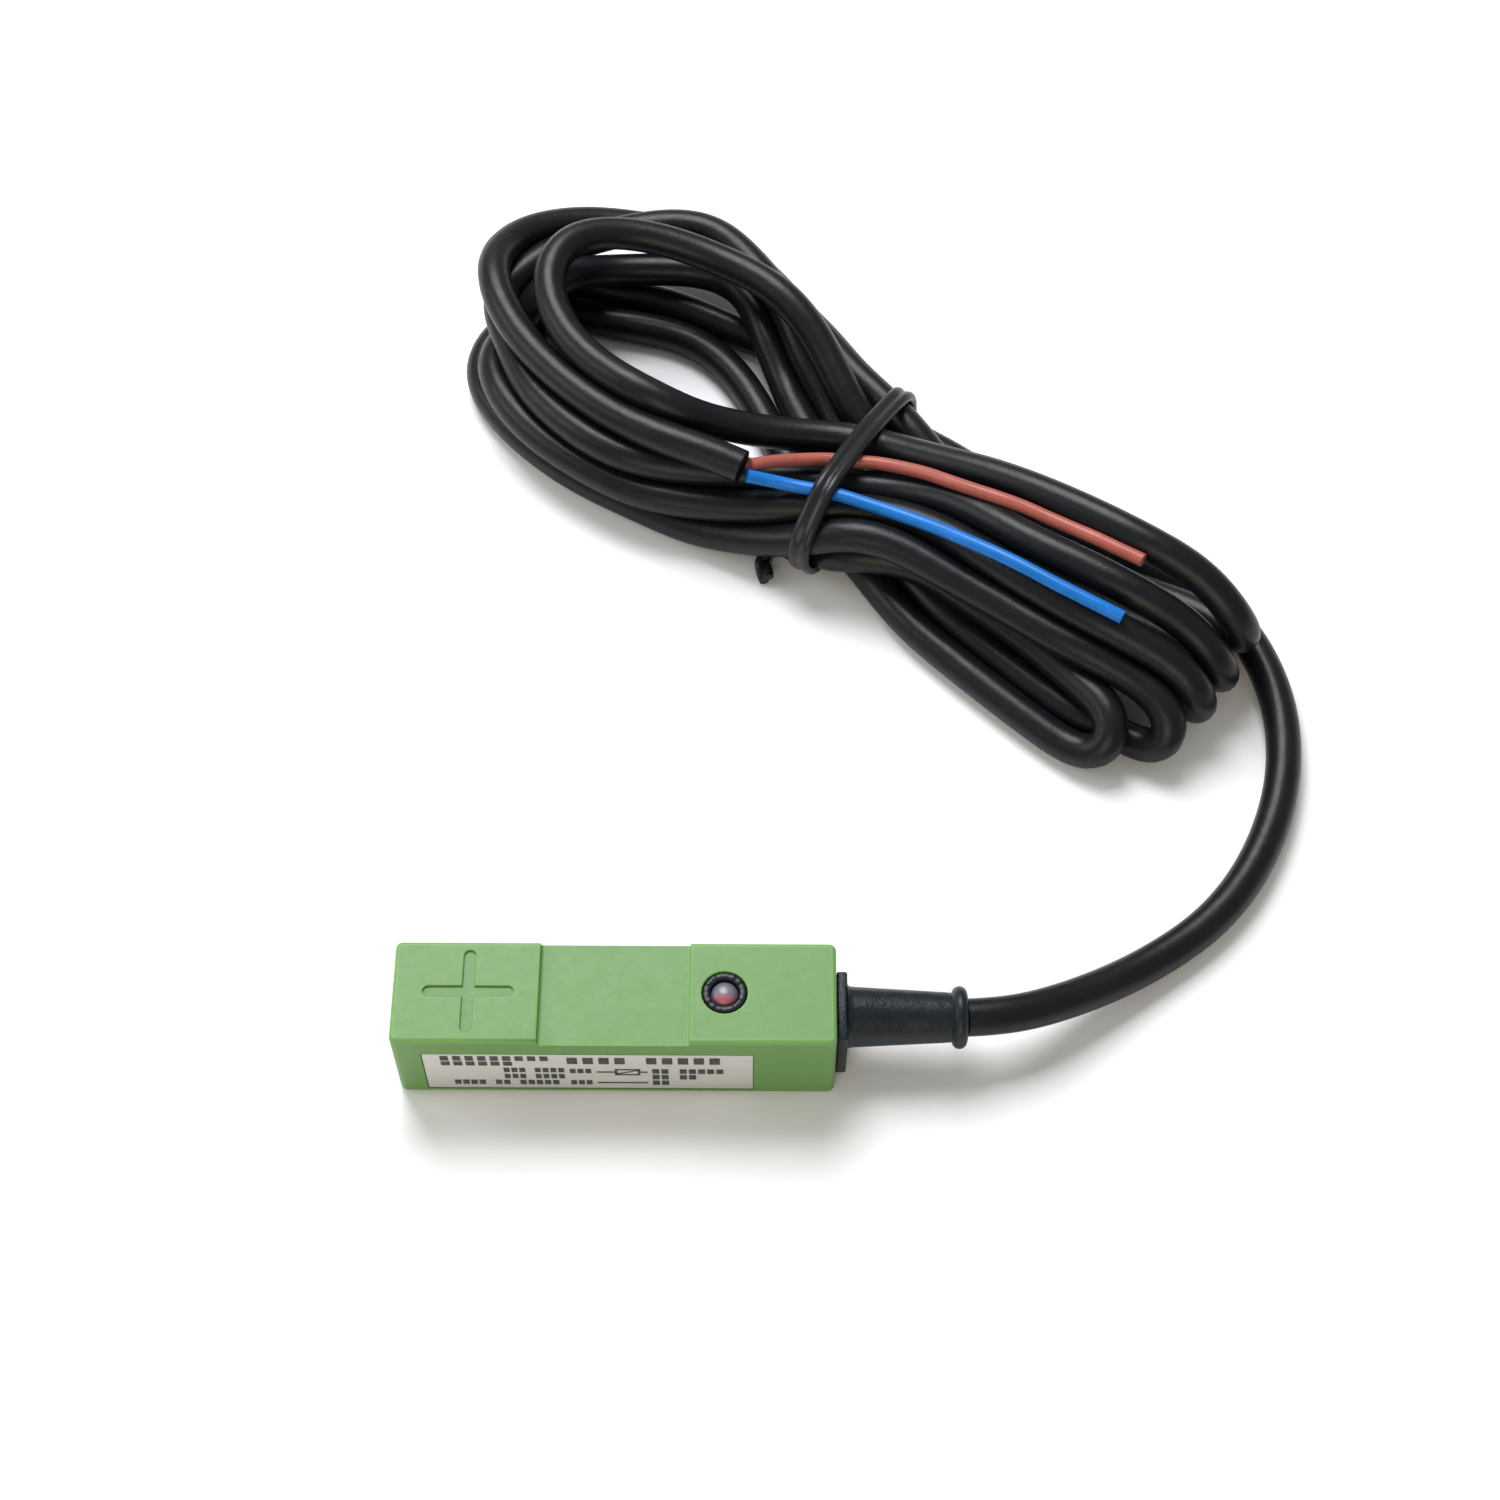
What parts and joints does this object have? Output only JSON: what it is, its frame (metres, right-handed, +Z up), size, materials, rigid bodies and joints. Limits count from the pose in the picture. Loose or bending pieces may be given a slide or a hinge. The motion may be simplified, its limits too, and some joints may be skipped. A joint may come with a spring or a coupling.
{
  "type": "proximity sensor",
  "caption": "Block-shaped inductive proximity sensor with an indicator lamp, a side label, a moulded strain relief and a two-core cable tied up in a hank.",
  "frame": {"origin": "centre of the housing's flat base, which stands on the surface", "axes": "+X along the housing from the sensing head to the cable, +Y away from the labelled side, +Z up out of the sensing face"},
  "size_m": [0.1043, 0.121, 0.0185],
  "materials": {
    "housing_plastic": "fine satin moulded plastic, pale leaf green",
    "label_foil": "silver-grey printed foil label, satin",
    "black_rubber": "soft black rubber, satin",
    "cable_jacket": "black PVC cable jacket, satin with a slight sheen",
    "tie_plastic": "black plastic-covered twist tie",
    "brown_insulation": "red-brown PVC wire insulation, satin",
    "blue_insulation": "blue PVC wire insulation, satin",
    "lamp_lens": "milky clear lamp lens with a red tint",
    "tinned_metal": "tinned metal",
    "copper": "enamelled copper wire",
    "ferrite": "dark grey ferrite",
    "bobbin_plastic": "natural nylon",
    "board_laminate": "green circuit board laminate",
    "chip_epoxy": "black moulded epoxy",
    "capacitor_ceramic": "tan ceramic",
    "resistor_film": "black resistor film",
    "casting_resin": "dark casting resin"
  },
  "bodies": {
    "root": {"housing_shell": "housing_plastic", "end_cap": "housing_plastic", "rating_label": "label_foil", "indicator_lamp": "lamp_lens", "lamp_pin_anode": "tinned_metal", "lamp_pin_cathode": "tinned_metal", "lamp_seal_ring": "black_rubber", "ferrite_core": "ferrite", "coil_bobbin": "bobbin_plastic", "coil_winding": "copper", "coil_wire_start": "copper", "coil_wire_end": "copper", "circuit_board": "board_laminate", "oscillator_chip": "chip_epoxy", "voltage_regulator": "chip_epoxy", "output_transistor": "chip_epoxy", "surge_diode": "chip_epoxy", "reverse_diode": "chip_epoxy", "tuning_capacitor": "capacitor_ceramic", "smoothing_capacitor": "capacitor_ceramic", "sensitivity_resistor": "resistor_film", "lamp_resistor": "resistor_film", "load_resistor": "resistor_film", "resin_bed": "casting_resin", "rear_potting": "casting_resin", "strain_relief_boot": "black_rubber", "cable_inner_end": "cable_jacket", "cable_crimp_ring": "tinned_metal", "brown_core_inside": "brown_insulation", "blue_core_inside": "blue_insulation", "cable_lead": "cable_jacket", "cable_hank": "cable_jacket", "brown_wire": "brown_insulation", "blue_wire": "blue_insulation", "twist_tie": "tie_plastic"}
  },
  "joints": []
}
